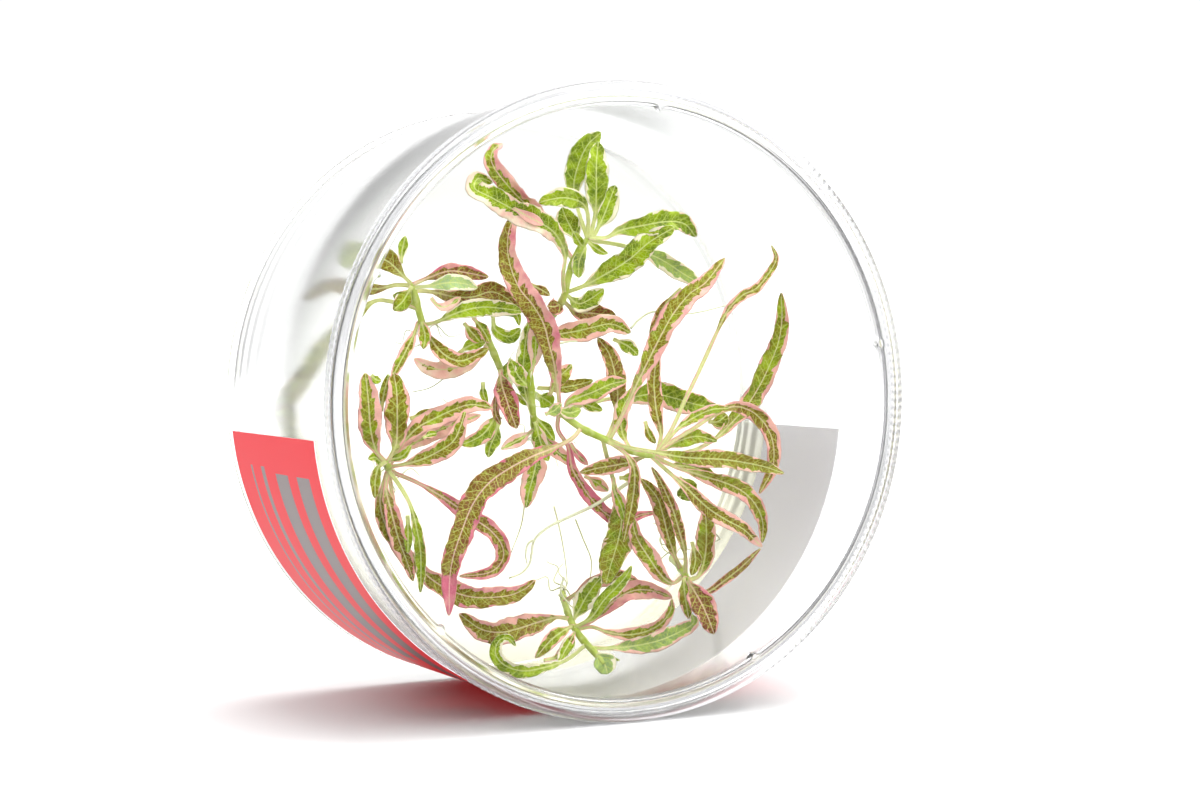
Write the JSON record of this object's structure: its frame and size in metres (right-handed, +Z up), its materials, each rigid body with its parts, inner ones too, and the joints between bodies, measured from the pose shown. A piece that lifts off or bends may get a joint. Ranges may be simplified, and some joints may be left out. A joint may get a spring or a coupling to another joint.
{
  "type": "tissue culture hygrophila",
  "caption": "Hygrophila shoots with narrow, pink-edged leaves growing in clear jelly inside a sealed clear plastic cup with a red half label, lying on its side.",
  "frame": {"origin": "middle of the bounding box's underside: the surface that the lid's skirt and the base's edge rest on", "axes": "+Z up; the lid faces -Y, tipped up by 2.86 degrees, and the base faces +Y; +X is to the right as the lid is looked at"},
  "size_m": [0.0998, 0.0562, 0.0998],
  "materials": {
    "clear": "clear glossy plastic",
    "jelly": "clear, slightly milky wet jelly",
    "label": "smooth red printed paper, plain, pale grey on its back",
    "stem": "smooth green plant stem",
    "green": "soft satin leaf, green with pink edges",
    "olive": "soft satin leaf, olive with pink edges",
    "brown": "soft satin leaf, brown with pink edges",
    "peach": "soft satin leaf, peach",
    "pink": "soft satin leaf, pink and green",
    "mint": "soft satin leaf, pale green"
  },
  "bodies": {
    "root": {"cup": "clear", "lid": "clear", "jelly": "jelly", "label": "label", "top_stem": "stem", "left_stem": "stem", "lower_left_stem": "stem", "side_stem": "stem", "middle_stem": "stem", "right_stem": "stem", "lower_right_stem": "stem", "bottom_stem": "stem", "top_leaf_1": "green", "top_leaf_2": "green", "top_leaf_3": "green", "top_leaf_4": "green", "top_leaf_5": "green", "top_leaf_6": "green", "top_leaf_7": "green", "top_leaf_8": "green", "top_leaf_9": "brown", "left_leaf_1": "mint", "left_leaf_2": "brown", "left_leaf_3": "olive", "left_leaf_4": "green", "left_leaf_5": "olive", "left_leaf_6": "peach", "left_leaf_7": "olive", "left_leaf_8": "olive", "lower_left_leaf_1": "green", "lower_left_leaf_2": "olive", "lower_left_leaf_3": "green", "lower_left_leaf_4": "olive", "lower_left_leaf_5": "olive", "lower_left_leaf_6": "olive", "lower_left_leaf_7": "green", "middle_leaf_1": "brown", "middle_leaf_2": "green", "middle_leaf_3": "brown", "middle_leaf_4": "pink", "middle_leaf_5": "brown", "right_leaf_1": "olive", "right_leaf_2": "olive", "right_leaf_3": "green", "right_leaf_4": "olive", "right_leaf_5": "green", "right_leaf_6": "olive", "right_leaf_7": "brown", "right_leaf_8": "green", "right_leaf_9": "brown", "right_leaf_10": "pink", "right_leaf_11": "olive", "lower_right_leaf_1": "olive", "lower_right_leaf_2": "olive", "lower_right_leaf_3": "pink", "lower_right_leaf_4": "brown", "bottom_leaf_1": "green", "bottom_leaf_2": "green", "bottom_leaf_3": "pink", "bottom_leaf_4": "mint"}
  },
  "joints": []
}
